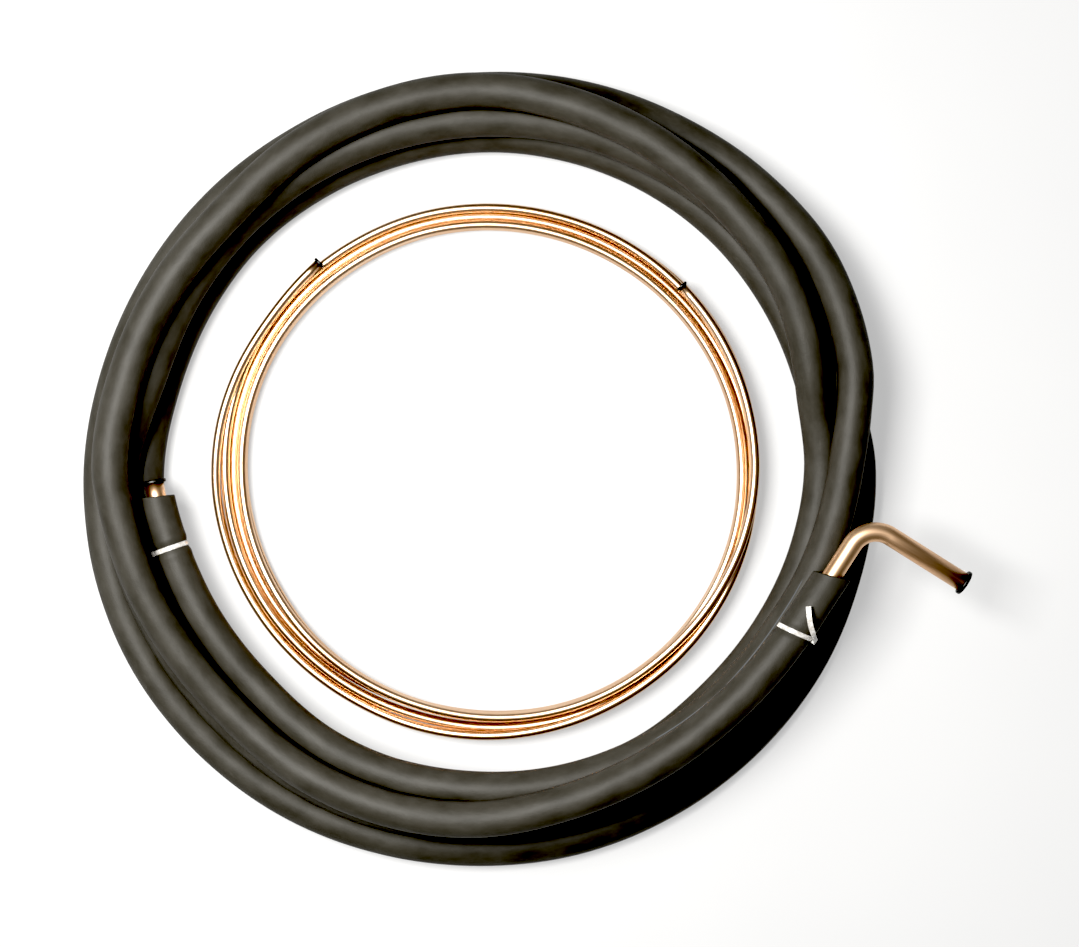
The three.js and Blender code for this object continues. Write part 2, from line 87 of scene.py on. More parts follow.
# Each lay is a list of stations: path angle in degrees, pitches out, pitches up
SUCTION_LAY = [
    [185, -0.49, 0.90], [195, -0.66, 0.87], [210, -0.80, 0.91], [225, -0.85, 0.92],
    [240, -0.76, 1.20], [255, -0.74, 1.50], [270, -0.76, 1.84], [285, -0.68, 1.95],
    [300, -0.57, 1.93], [315, -0.43, 1.92], [330, -0.28, 1.97], [343, 0.00, 2.00],
    [360, 0.42, 1.92], [368, 0.72, 1.87], [375, 1.03, 1.89], [390, 1.36, 1.46],
    [405, 1.405, 0.85], [420, 1.32, 0.40], [435, 1.25, 0.10], [450, 1.14, 0.00],
    [465, 1.05, 0.00], [480, 0.97, 0.00], [495, 0.97, 0.00], [510, 0.99, 0.00],
    [525, 1.07, 0.00], [540, 1.22, 0.00],

    [547, 1.27, 0.00], [555, 1.33, 0.00], [570, 1.386, 0.00], [585, 1.356, 0.00],
    [600, 1.32, 0.00], [615, 1.25, 0.00], [630, 1.205, 0.00], [645, 1.21, 0.00],
    [660, 1.19, 0.00], [675, 1.17, 0.00], [690, 1.15, 0.00], [703, 1.09, 0.03],
    [720, 0.99, 0.48], [728, 0.77, 0.79], [732, 0.66, 0.87], [736, 0.55, 0.93],
    [750, 0.45, 0.965],
    [765, 0.405, 0.97], [780, 0.27, 0.98], [795, 0.22, 0.98], [810, 0.12, 0.98],
    [825, 0.06, 0.98], [840, 0.03, 0.99], [855, 0.00, 0.985], [870, -0.02, 0.99],
    [885, 0.00, 0.995], [900, 0.44, 0.94],

    [907, 0.55, 0.83], [915, 0.56, 0.72], [930, 0.49, 0.55], [945, 0.44, 0.52],
    [960, 0.46, 0.60], [975, 0.45, 0.60], [990, 0.355, 0.53], [1005, 0.24, 0.25],
    [1020, 0.20, 0.05], [1035, 0.18, 0.00], [1050, 0.15, 0.00], [1063, 0.08, 0.00],
    [1080, 0.10, 0.00], [1088, 0.12, 0.00], [1095, 0.07, 0.00], [1110, 0.04, 0.00],
    [1125, 0.02, 0.00], [1140, -0.03, 0.00], [1155, -0.09, 0.00], [1170, -0.14, 0.00],
    [1185, -0.21, 0.00], [1200, -0.22, 0.00], [1215, -0.21, 0.00], [1230, -0.25, 0.00],
    [1245, -0.23, 0.00], [1260, -0.06, 0.00],

    [1267, -0.05, 0.00], [1275, -0.15, 0.00], [1290, -0.35, 0.00], [1305, -0.42, 0.00],
    [1320, -0.49, 0.20], [1335, -0.58, 0.46], [1350, -0.61, 0.81], [1365, -0.52, 0.93],
    [1380, -0.44, 0.90], [1395, -0.48, 0.89], [1410, -0.39, 0.94], [1423, -0.26, 0.99],
    [1440, -0.11, 1.01], [1448, -0.16, 1.24], [1452, -0.18, 1.50], [1456, -0.13, 1.75],
    [1470, 0.16, 1.975],
    [1485, 0.29, 1.97], [1500, 0.45, 1.98], [1515, 0.62, 1.95], [1530, 0.76, 1.79],
    [1545, 0.66, 1.81], [1560, 0.46, 1.91], [1575, 0.23, 1.975], [1590, 0.32, 1.94],
    [1605, 0.42, 1.93], [1620, 0.55, 1.94],

    [1627, 0.44, 1.83], [1635, 0.33, 1.73], [1650, 0.13, 1.55], [1665, 0.03, 1.47],
    [1680, 0.06, 1.80], [1695, 0.02, 2.20], [1710, -0.10, 2.64], [1725, -0.30, 2.88],
    [1740, -0.35, 2.90], [1755, -0.30, 2.91], [1770, -0.10, 2.96], [1776, 0.04, 2.98],
    [1780, 0.17, 2.99], [1783, 0.31, 3.00],
]

# The liquid coil as a whole is out of round by this much: angle in degrees, pitches out
LIQUID_COLUMN = [
    [0, 1.00], [15, 0.90], [30, 0.69], [45, 0.45], [60, 0.21], [75, 0.05], [90, 0.00],
    [105, 0.00], [120, -0.05], [135, 0.00], [150, 0.03], [165, -0.03], [180, -0.18],
    [195, -0.285], [210, -0.39], [225, -0.44], [240, -0.475], [255, -0.39], [270, -0.10],
    [285, 0.26], [300, 0.61], [315, 0.88], [330, 1.03], [345, 1.09], [360, 1.00],
]

LIQUID_LAY = [
    [128.8, 1.95, 2.15], [145, 1.73, 2.02], [160, 2.10, 1.95], [172, 2.50, 1.65],
    [183, 2.76, 1.15], [195, 2.80, 0.55], [210, 2.72, 0.45], [225, 2.55, 0.55],
    [240, 2.40, 0.75], [255, 2.28, 1.25], [270, 1.95, 1.72], [285, 1.55, 1.95],
    [300, 1.24, 2.00], [315, 1.12, 2.00], [330, 1.10, 1.99], [345, 1.10, 1.99],
    [360, 1.10, 2.00], [375, 1.25, 1.96], [390, 1.45, 1.70], [403, 1.62, 1.44],
    [420, 1.76, 1.10], [435, 1.75, 1.01],

    [480, 1.75, 1.01], [525, 1.75, 1.01], [540, 1.74, 1.01], [555, 1.71, 1.03],
    [570, 1.67, 1.07], [585, 1.50, 1.01], [600, 1.40, 1.01], [615, 1.28, 1.01],
    [630, 1.20, 1.00], [645, 1.12, 1.00], [660, 1.10, 1.00], [705, 1.10, 1.00],
    [720, 1.10, 1.00], [735, 1.50, 0.96], [750, 1.83, 0.72], [763, 1.94, 0.45],
    [771, 1.90, 0.22], [780, 1.81, 0.08], [795, 1.76, 0.00],

    [840, 1.75, 0.00], [885, 1.75, 0.00], [900, 1.75, 0.00], [915, 1.77, 0.00],
    [930, 1.79, 0.00], [945, 1.69, 0.00], [960, 1.51, 0.00], [975, 1.36, 0.00],
    [990, 1.23, 0.00], [1005, 1.12, 0.00], [1020, 1.10, 0.00], [1065, 1.10, 0.00],
    [1080, 1.10, 0.00], [1095, 1.05, 0.05], [1110, 0.99, 0.15], [1123, 0.95, 0.30],
    [1131, 0.91, 0.41], [1140, 0.88, 0.49], [1155, 0.87, 0.50],

    [1200, 0.87, 0.50], [1245, 0.87, 0.50], [1260, 0.87, 0.50], [1275, 0.88, 0.46],
    [1290, 0.89, 0.43], [1305, 0.71, 0.20], [1320, 0.45, 0.10], [1335, 0.15, 0.00],
    [1350, 0.00, 0.00], [1365, 0.00, 0.00], [1410, 0.00, 0.00], [1440, 0.00, 0.00],
    [1500, 0.00, 0.00],

    [1560, 0.00, 0.00], [1605, 0.00, 0.00], [1620, 0.00, 0.00], [1635, -0.09, 0.15],
    [1650, -0.12, 0.50], [1665, -0.05, 0.90], [1680, 0.00, 1.01], [1695, 0.00, 1.02],
    [1710, 0.00, 1.01], [1725, 0.00, 1.01], [1770, 0.00, 1.01], [1800, 0.00, 1.01],
    [1860, 0.00, 1.01],

    [1920, 0.00, 1.01], [1965, 0.00, 1.01], [1980, 0.00, 1.01], [1995, 0.00, 1.17],
    [2010, 0.00, 1.51], [2025, 0.00, 1.91], [2040, 0.00, 2.03], [2055, 0.00, 2.04],
    [2070, 0.00, 2.02], [2085, 0.00, 2.02], [2100, 0.00, 2.02], [2115, 0.02, 2.17],
    [2130, 0.30, 2.64], [2145, 0.71, 2.95], [2160, 1.11, 3.01], [2175, 1.25, 2.98],
    [2190, 1.50, 2.73], [2203.3, 1.66, 2.62],
]


def lay_value(lay, column, angle):
    """A smooth curve through one column of a lay, read at a path angle."""
    i = 0
    while i < len(lay) - 2 and angle > lay[i + 1][0]:
        i += 1

    def slope(k):
        a, b = max(k - 1, 0), min(k + 1, len(lay) - 1)
        return (lay[b][column] - lay[a][column]) / (lay[b][0] - lay[a][0])

    span = lay[i + 1][0] - lay[i][0]
    t = (angle - lay[i][0]) / span
    t2, t3 = t * t, t * t * t
    return ((2 * t3 - 3 * t2 + 1) * lay[i][column] + (t3 - 2 * t2 + t) * span * slope(i)
            + (3 * t2 - 2 * t3) * lay[i + 1][column] + (t3 - t2) * span * slope(i + 1))


reach_in = min(s[1] for s in SUCTION_LAY)
inner_edge = COIL_RADIUS + reach_in * FOAM_PITCH - FOAM_OD / 2
reach_out = max(s[1] + lay_value(LIQUID_COLUMN, 1, s[0] % 360) for s in LIQUID_LAY)
LIQUID_COIL_RADIUS = inner_edge - NEST_CLEARANCE - reach_out * LIQUID_PITCH - LIQUID_OD / 2


def suction_point(angle):
    r = COIL_RADIUS + lay_value(SUCTION_LAY, 1, angle) * FOAM_PITCH
    z = FOAM_OD / 2 + max(lay_value(SUCTION_LAY, 2, angle), 0) * FOAM_PITCH
    a = math.radians(angle)
    return Vector((r * math.cos(a), r * math.sin(a), z))


def liquid_point(angle):
    out = lay_value(LIQUID_COLUMN, 1, angle % 360) + lay_value(LIQUID_LAY, 1, angle)
    r = LIQUID_COIL_RADIUS + out * LIQUID_PITCH
    z = LIQUID_OD / 2 + max(lay_value(LIQUID_LAY, 2, angle), 0) * LIQUID_PITCH
    a = math.radians(angle)
    return Vector((LIQUID_COIL_SHIFT[0] + r * math.cos(a),
                   LIQUID_COIL_SHIFT[1] + r * math.sin(a), z))


def direction(point, angle, low, high):
    """Which way a line runs at a path angle between its two ends."""
    a, b = max(angle - 0.5, low), min(angle + 0.5, high)
    return (point(b) - point(a)).normalized()


def even_angles(start, end, step):
    count = max(int(round((end - start) / step)), 1)
    return [start + (end - start) * i / count for i in range(count + 1)]


def coil_rings(point, angles):
    """The places and directions of a line at the given path angles, the first and last its ends."""
    return [(point(a), direction(point, a, angles[0], angles[-1])) for a in angles]


def denser(angles):
    """Extra angles near the ends and the ties, where the foam's skin bends most."""
    start, end = angles[0], angles[-1]
    dense = {round(a, 4) for a in angles}
    for centre, half in ((start, 0.4), (end, 0.4), (LEFT_TIE_ANGLE, 3.0), (RIGHT_TIE_ANGLE, 3.0)):
        for k in range(-12, 13):
            a = centre + half * k / 12
            if start <= a <= end:
                dense.add(round(a, 4))
    return sorted(dense)


foam_start, foam_end = SUCTION_LAY[0][0], SUCTION_LAY[-1][0]
foam_angles = denser(even_angles(foam_start, foam_end, FOAM_STEP))
foam_rings = coil_rings(suction_point, foam_angles)
total_run = sum((b[0] - a[0]).length for a, b in zip(foam_rings, foam_rings[1:]))
tip_angle = math.degrees(LIQUID_TIP_LENGTH / LIQUID_COIL_RADIUS)
liquid_start = LIQUID_LAY[0][0] + tip_angle
liquid_end = LIQUID_LAY[-1][0] - tip_angle
liquid_coil = coil_rings(liquid_point, even_angles(liquid_start, liquid_end, LIQUID_STEP))


def tip(ring, outward):
    return (ring[0] + ring[1] * (outward * LIQUID_TIP_LENGTH), ring[1])


liquid_rings = [tip(liquid_coil[0], -1), *liquid_coil, tip(liquid_coil[-1], 1)]

# The suction tube's rings: stub, coil, run in, elbow, run out
first_at, first_along = foam_rings[0]
stub_end = (first_at - first_along * STUB_LENGTH, first_along)
tube_coil = coil_rings(suction_point, even_angles(foam_start, foam_end, TUBE_STEP))
last_at, leg = foam_rings[-1]
side = Vector((leg.y, -leg.x, 0)).normalized()
bend_centre = last_at + leg * ELBOW_RUN_IN + side * ELBOW_RADIUS
elbow_rings = []
for i in range(ELBOW_STEPS + 1):
    a = math.radians(ELBOW_TURN_DEG) * i / ELBOW_STEPS
    from_centre = leg * math.sin(a) - side * math.cos(a)
    elbow_rings.append((bend_centre + from_centre * ELBOW_RADIUS,
                        leg * math.cos(a) + side * math.sin(a)))
elbow_end = (elbow_rings[-1][0] + elbow_rings[-1][1] * ELBOW_RUN_OUT, elbow_rings[-1][1])

# The CAD's origin is the middle of its box; the coil's centre stands here from it, in millimetres
CENTRE = Vector((-34.644, 0.594, 0))


def to_row(p):
    """A place in the coil's millimetres as a place in the row's metres."""
    return (Vector(p) + CENTRE) / 1000


def axes(along):
    """The level and the upward direction square to a line."""
    up = Vector((0, 0, 1))
    out = along.cross(up).normalized()
    return out, out.cross(along).normalized()


def new_object(name, verts, faces, material, smooth=True):
    mesh = bpy.data.meshes.new(name)
    mesh.from_pydata([tuple(v) for v in verts], [], faces)
    mesh.update()
    if smooth:
        mesh.polygons.foreach_set("use_smooth", [True] * len(mesh.polygons))
    obj = bpy.data.objects.new(name, mesh)
    bpy.context.scene.collection.objects.link(obj)
    obj.data.materials.append(material)
    return obj


def float_layer(obj, name, values):
    """A number for every vertex, which the materials read by name."""
    layer = obj.data.attributes.new(name, "FLOAT", "POINT")
    layer.data.foreach_set("value", values)


def swept(rings, sides, radius, slant=None):
    """A tube's skin through rings: radius(i, angle round, run) in mm, slant(i) leans a ring."""
    verts, run, turn = [], [], []
    s = 0.0
    for i, (at, along) in enumerate(rings):
        if i:
            s += (at - rings[i - 1][0]).length
        out, up = axes(along)
        for j in range(sides):
            th = 2 * math.pi * j / sides
            r = radius(i, th, s)
            p = at + out * (r * math.cos(th)) + up * (r * math.sin(th))
            if slant:
                p = p + along * (slant(i) * r * math.cos(th))
            verts.append(to_row(p))
            run.append(s / 1000)
            turn.append(th / (2 * math.pi))
    faces = []
    for i in range(len(rings) - 1):
        here, there = i * sides, (i + 1) * sides
        for j in range(sides):
            k = (j + 1) % sides
            faces.append((here + j, there + j, there + k, here + k))
    return verts, faces, run, turn


def solid_tube(name, rings, sides, radius, bore, material, nodes, slant=None):
    """Closed tube: outer skin, flat annulus ends, and a bore that runs right through."""
    verts, faces, run, turn = swept(rings, sides, radius, slant)
    inner, inner_faces, irun, iturn = swept(rings, sides, lambda i, th, s: bore, slant)
    base = len(verts)
    verts += inner
    run += irun
    turn += iturn
    faces += [tuple(base + v for v in reversed(f)) for f in inner_faces]
    last_ring = (len(rings) - 1) * sides
    for j in range(sides):
        k = (j + 1) % sides
        faces.append((j, k, base + k, base + j))
        faces.append((last_ring + k, last_ring + j, base + last_ring + j, base + last_ring + k))
    obj = new_object(name, verts, faces, material)
    float_layer(obj, "run", run)
    float_layer(obj, "turn", turn)
    for p in obj.data.polygons:
        if p.index >= len(faces) - 2 * sides:
            p.use_smooth = False
    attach(obj, "root")
    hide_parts(*nodes)
    return obj


# Materials
def material(name):
    """A new material with its node tree and its Principled node."""
    mat = bpy.data.materials.new(name)
    mat.use_nodes = True
    nt = mat.node_tree
    nt.nodes.clear()
    out = nt.nodes.new("ShaderNodeOutputMaterial")
    bsdf = nt.nodes.new("ShaderNodeBsdfPrincipled")
    nt.links.new(bsdf.outputs[0], out.inputs[0])
    return mat, nt, bsdf


def node(nt, kind, **settings):
    n = nt.nodes.new(kind)
    for key, value in settings.items():
        setattr(n, key, value)
    return n


def noise_node(nt, scale, detail=4.0, rough=0.55, vector=None, dims="3D"):
    n = node(nt, "ShaderNodeTexNoise", noise_dimensions=dims)
    n.inputs["Scale"].default_value = scale
    n.inputs["Detail"].default_value = detail
    n.inputs["Roughness"].default_value = rough
    if vector is not None:
        nt.links.new(vector, n.inputs["Vector"])
    return n


def ramp(nt, value, stops):
    r = node(nt, "ShaderNodeValToRGB")
    els = r.color_ramp.elements
    while len(els) < len(stops):
        els.new(0.5)
    for e, (pos, col) in zip(els, stops):
        e.position = pos
        e.color = (*col, 1.0)
    nt.links.new(value, r.inputs["Fac"])
    return r


def maths(nt, op, a, b=None, c=None, clamp=False):
    m = node(nt, "ShaderNodeMath", operation=op, use_clamp=clamp)
    for i, v in enumerate((a, b, c)):
        if v is None:
            continue
        if isinstance(v, (int, float)):
            m.inputs[i].default_value = v
        else:
            nt.links.new(v, m.inputs[i])
    return m.outputs[0]


def attribute(nt, name):
    return node(nt, "ShaderNodeAttribute", attribute_name=name).outputs["Fac"]


def tube_space(nt, radius):
    """A vector that runs along the tube and round it, in metres, so streaks follow the tube."""
    run = attribute(nt, "run")
    turn = maths(nt, "MULTIPLY", attribute(nt, "turn"), 2 * math.pi)
    c = maths(nt, "MULTIPLY", maths(nt, "COSINE", turn), radius)
    s = maths(nt, "MULTIPLY", maths(nt, "SINE", turn), radius)
    comb = node(nt, "ShaderNodeCombineXYZ")
    nt.links.new(run, comb.inputs[0])
    nt.links.new(c, comb.inputs[1])
    nt.links.new(s, comb.inputs[2])
    return comb.outputs[0]


def stretched(nt, vector, along):
    m = node(nt, "ShaderNodeMapping")
    m.inputs["Scale"].default_value = (along, 1, 1)
    nt.links.new(vector, m.inputs["Vector"])
    return m.outputs[0]


def bump(nt, bsdf, heights):
    normal = None
    for height, strength, distance in heights:
        b = node(nt, "ShaderNodeBump")
        b.inputs["Strength"].default_value = strength
        b.inputs["Distance"].default_value = distance
        nt.links.new(height, b.inputs["Height"])
        if normal is not None:
            nt.links.new(normal, b.inputs["Normal"])
        normal = b.outputs[0]
    nt.links.new(normal, bsdf.inputs["Normal"])


# The radii, in metres, on which the grain of the tubes and the foam is laid out
COPPER_GRAIN_RADIUS = 0.006
FOAM_GRAIN_RADIUS = 0.018


def copper_material(name, smoothest, roughest, tones, grain):
    """Drawn copper: cloudy tones and fine streaks that follow the tube."""
    mat, nt, bsdf = material(name)
    space = tube_space(nt, COPPER_GRAIN_RADIUS)
    fine = noise_node(nt, 900, 3, 0.6, stretched(nt, space, 0.02))
    broad = noise_node(nt, 60, 4, 0.6, stretched(nt, space, 0.12))
    tint = noise_node(nt, 9, 3, 0.5, stretched(nt, space, 0.5))
    base = ramp(nt, broad.outputs["Fac"], list(zip((0.25, 0.5, 0.78), tones)))
    warm = ramp(nt, tint.outputs["Fac"], [
        (0.35, (0.93, 0.84, 0.78)), (0.65, (1.0, 1.0, 1.0))])
    mix = node(nt, "ShaderNodeMix", data_type="RGBA", blend_type="MULTIPLY")
    mix.inputs[0].default_value = 0.8
    nt.links.new(base.outputs[0], mix.inputs[6])
    nt.links.new(warm.outputs[0], mix.inputs[7])
    nt.links.new(mix.outputs[2], bsdf.inputs["Base Color"])
    rough = node(nt, "ShaderNodeMapRange")
    rough.inputs["To Min"].default_value = smoothest
    rough.inputs["To Max"].default_value = roughest
    nt.links.new(fine.outputs["Fac"], rough.inputs["Value"])
    nt.links.new(rough.outputs[0], bsdf.inputs["Roughness"])
    bsdf.inputs["Metallic"].default_value = 1.0
    bump(nt, bsdf, [(fine.outputs["Fac"], grain, 0.00012), (broad.outputs["Fac"], grain, 0.0003)])
    return mat


def foam_material():
    """Dark foam with a mottled, slightly dusty skin."""
    mat, nt, bsdf = material("closed_cell_foam")
    space = tube_space(nt, FOAM_GRAIN_RADIUS)
    grain = noise_node(nt, 1600, 2, 0.7, space)
    cells = node(nt, "ShaderNodeTexVoronoi", feature="F1")
    cells.inputs["Scale"].default_value = 700
    nt.links.new(space, cells.inputs["Vector"])
    mottled = noise_node(nt, 55, 5, 0.62, stretched(nt, space, 0.5))
    wide = noise_node(nt, 6, 3, 0.5, space)
    scuff = noise_node(nt, 190, 6, 0.72, stretched(nt, space, 0.25))
    base = ramp(nt, mottled.outputs["Fac"], [
        (0.28, (0.044, 0.0418, 0.0368)), (0.52, (0.057, 0.0542, 0.0482)),
        (0.8, (0.073, 0.0696, 0.0625))])
    dusty = ramp(nt, scuff.outputs["Fac"], [
        (0.62, (0, 0, 0)), (0.78, (0.028, 0.027, 0.025))])
    add = node(nt, "ShaderNodeMix", data_type="RGBA", blend_type="ADD")
    add.inputs[0].default_value = 0.6
    nt.links.new(base.outputs[0], add.inputs[6])
    nt.links.new(dusty.outputs[0], add.inputs[7])
    # The glued slit of the sleeve shows as a thin pale line where the line layer is high
    above = maths(nt, "SUBTRACT", attribute(nt, "line"), 0.62)
    line = maths(nt, "MULTIPLY", above, 2.6, clamp=True)
    seam = node(nt, "ShaderNodeMix", data_type="RGBA")
    nt.links.new(line, seam.inputs[0])
    nt.links.new(add.outputs[2], seam.inputs[6])
    seam.inputs[7].default_value = (0.23, 0.27, 0.33, 1)
    nt.links.new(seam.outputs[2], bsdf.inputs["Base Color"])
    rough = node(nt, "ShaderNodeMapRange")
    rough.inputs["To Min"].default_value = 0.50
    rough.inputs["To Max"].default_value = 0.58
    nt.links.new(wide.outputs["Fac"], rough.inputs["Value"])
    nt.links.new(rough.outputs[0], bsdf.inputs["Roughness"])
    bsdf.inputs["Specular IOR Level"].default_value = 0.26
    bump(nt, bsdf, [
        (mottled.outputs["Fac"], 0.35, 0.0012), (cells.outputs["Distance"], 0.22, 0.0003),
        (grain.outputs["Fac"], 0.35, 0.0003)])
    return mat


def foam_cut_material():
    mat, nt, bsdf = material("cut_foam")
    coord = node(nt, "ShaderNodeTexCoord").outputs["Object"]
    cells = node(nt, "ShaderNodeTexVoronoi", feature="F1")
    cells.inputs["Scale"].default_value = 900
    nt.links.new(coord, cells.inputs["Vector"])
    col = ramp(nt, cells.outputs["Distance"], [
        (0.1, (0.012, 0.011, 0.010)), (0.6, (0.040, 0.037, 0.032))])
    nt.links.new(col.outputs[0], bsdf.inputs["Base Color"])
    bsdf.inputs["Roughness"].default_value = 0.85
    bump(nt, bsdf, [(cells.outputs["Distance"], 0.6, 0.0006)])
    return mat


def plug_material():
    mat, nt, bsdf = material("moulded_plug")
    coord = node(nt, "ShaderNodeTexCoord").outputs["Object"]
    fine = noise_node(nt, 2200, 2, 0.6, coord)
    wear = noise_node(nt, 160, 4, 0.6, coord)
    col = ramp(nt, wear.outputs["Fac"], [
        (0.35, (0.008, 0.008, 0.008)), (0.7, (0.020, 0.019, 0.018))])
    nt.links.new(col.outputs[0], bsdf.inputs["Base Color"])
    bsdf.inputs["Roughness"].default_value = 0.42
    bump(nt, bsdf, [(fine.outputs["Fac"], 0.15, 0.0001)])
    return mat


def tie_material():
    mat, nt, bsdf = material("pale_nylon")
    coord = node(nt, "ShaderNodeTexCoord").outputs["Object"]
    cloud = noise_node(nt, 420, 3, 0.6, coord)
    col = ramp(nt, cloud.outputs["Fac"], [
        (0.35, (0.52, 0.49, 0.45)), (0.65, (0.86, 0.85, 0.83))])
    nt.links.new(col.outputs[0], bsdf.inputs["Base Color"])
    bsdf.inputs["Roughness"].default_value = 0.22
    bsdf.inputs["Transmission Weight"].default_value = 0.25
    bsdf.inputs["IOR"].default_value = 1.5
    bump(nt, bsdf, [(cloud.outputs["Fac"], 0.2, 0.0002)])
    return mat


SATIN_COPPER = copper_material("satin_copper", 0.34, 0.50, [
    (0.60, 0.39, 0.245), (0.76, 0.53, 0.355), (0.90, 0.69, 0.50)], 0.20)
BRIGHT_COPPER = copper_material("bright_copper", 0.27, 0.38, [
    (0.60, 0.41, 0.27), (0.74, 0.54, 0.38), (0.86, 0.68, 0.51)], 0.006)
FOAM = foam_material()
FOAM_CUT = foam_cut_material()
PLUG = plug_material()
TIE = tie_material()

# The foam sleeve: soft swells, a neck under each tie, and its slit line
RIGHT_TIE_SKEW = 3.5
NECK_DEPTH = TIE_BITE - 0.2
NECK_WIDTH = 5.2
SHOULDER_HEIGHT = 0.35
SHOULDER_PLACE = 9.0
SHOULDER_WIDTH = 4.0
CUT_EDGE_LENGTH = 1.6
CUT_EDGE_DEPTH = 0.7
# Two broad swells in the skin: path angle in degrees, height in mm
SWELLS = [(756, 1.3), (395, 1.0)]
SWELL_SPAN = 7
# The sleeve was cut askew at its elbow end, and slightly so at the stub: lean, degrees it fades over
ELBOW_CUT = (0.33, 3.5)
STUB_CUT = (-0.10, 2.5)


def near_tie(angle, th):
    """How far a point of the skin lies from the nearer strap, which the right tie wears askew."""
    left = (angle - LEFT_TIE_ANGLE) * math.radians(1) * COIL_RADIUS
    right = (angle - RIGHT_TIE_ANGLE) * math.radians(1) * COIL_RADIUS
    return min(abs(left), abs(right - RIGHT_TIE_SKEW * (1 + math.cos(th))))


def foam_radius(i, th, s):
    angle = foam_angles[i]
    wobble = noise.noise(Vector((s / 160, math.cos(th) * 0.8, math.sin(th) * 0.8)))
    ripple = noise.noise(Vector((s / 38 + 40, math.cos(th) * 1.2, math.sin(th) * 1.2)))
    r = FOAM_OD / 2 + 0.22 * wobble + 0.13 * ripple
    d = near_tie(angle, th)
    r -= NECK_DEPTH * math.exp(-(d / NECK_WIDTH) ** 2)
    r += SHOULDER_HEIGHT * math.exp(-((d - SHOULDER_PLACE) / SHOULDER_WIDTH) ** 2)
    for pressed, most in SWELLS:
        r += most * math.exp(-((angle - pressed) / SWELL_SPAN) ** 2)
    end = min(s, total_run - s)
    if end < CUT_EDGE_LENGTH:
        r -= CUT_EDGE_DEPTH * (1 - end / CUT_EDGE_LENGTH) ** 2
    return r


def foam_slant(i):
    at_elbow = max(1 - (foam_end - foam_angles[i]) / ELBOW_CUT[1], 0)
    at_stub = max(1 - (foam_angles[i] - foam_start) / STUB_CUT[1], 0)
    return ELBOW_CUT[0] * at_elbow + STUB_CUT[0] * at_stub


foam_bore = SUCTION_OD / 2 + FOAM_BORE_CLEARANCE
sleeve = solid_tube("sleeve_skin", foam_rings, FOAM_SIDES, foam_radius, foam_bore,
                    FOAM, ["foam_sleeve"], foam_slant)
# The slit shows as a fine pale line: (first angle, last angle, place round the skin, strength)
SEAMS = [(297, 346, 120, 0.75), (1736, 1771, 14, 0.70)]
SEAM_FADE = 6
line = [0.0] * len(sleeve.data.vertices)
for first_angle, last_angle, place, strength in SEAMS:
    column = round(place / 360 * FOAM_SIDES)
    for i, angle in enumerate(foam_angles):
        fade = min(angle - first_angle, last_angle - angle) / SEAM_FADE
        if fade > 0:
            line[i * FOAM_SIDES + column] = strength * min(fade, 1)
float_layer(sleeve, "line", line)
sleeve.data.materials.append(FOAM_CUT)
total_faces = len(sleeve.data.polygons)
for p in sleeve.data.polygons:
    if p.index >= total_faces - 2 * FOAM_SIDES:
        p.material_index = 1

# The suction tube
tube_rings = [stub_end, *tube_coil, *elbow_rings, elbow_end]
solid_tube("suction_copper", tube_rings, SUCTION_SIDES, lambda i, th, s: SUCTION_OD / 2,
           SUCTION_OD / 2 - SUCTION_WALL, SATIN_COPPER, ["suction_tube"])

# The liquid tube
solid_tube("liquid_copper", liquid_rings, LIQUID_SIDES, lambda i, th, s: LIQUID_OD / 2,
           LIQUID_OD / 2 - LIQUID_WALL, BRIGHT_COPPER, ["liquid_tube"])


def lathe(name, profile, at, along, sides, mat, nodes):
    """A turned piece about a ring's axis; profile is (radius, distance out) in mm."""
    out, up = axes(along)
    verts, faces, starts = [], [], []
    for r, z in profile:
        on_axis = r <= 1e-6
        starts.append((len(verts), on_axis))
        for j in range(1 if on_axis else sides):
            th = 2 * math.pi * j / sides
            round_axis = out * (r * math.cos(th)) + up * (r * math.sin(th))
            verts.append(to_row(at + along * z + round_axis))
    for (a, a_on_axis), (b, b_on_axis) in zip(starts, starts[1:]):
        for j in range(sides):
            k = (j + 1) % sides
            if a_on_axis:
                faces.append((a, b + k, b + j))
            elif b_on_axis:
                faces.append((a + j, a + k, b))
            else:
                faces.append((a + j, a + k, b + k, b + j))
    obj = new_object(name, verts, faces, mat)
    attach(obj, "root")
    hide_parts(*nodes)
    return obj


# How far a stopper's stem stays from the bore, and its flange from the tube's end
PLUG_GAP = 0.12


def plug(name, od, wall, lip, thick, stem, ring, outward, nodes):
    """A stopper: a tapered stem, a flange with eased edges, and a shallow dish in its face."""
    fit = od / 2 - wall - PLUG_GAP
    rim = od / 2 + lip
    ease = min(thick * 0.28, 0.9)
    back = PLUG_GAP
    face = PLUG_GAP + thick
    profile = [(0, -stem), (fit * 0.8, -stem), (fit * 0.9, -stem + 0.5), (fit, -stem * 0.8),
               (fit, back - 0.02), (fit + 0.02, back), (rim - ease, back),
               (rim - ease * 0.3, back + ease * 0.3), (rim, back + ease), (rim, face - ease),
               (rim - ease * 0.3, face - ease * 0.3), (rim - ease, face), (rim * 0.62, face),
               (rim * 0.58, face - 0.1), (rim * 0.52, face - 0.7), (rim * 0.2, face - 0.8),
               (0, face - 0.8)]
    return lathe(name, profile, ring[0], ring[1] * outward, PLUG_SIDES, PLUG, nodes)


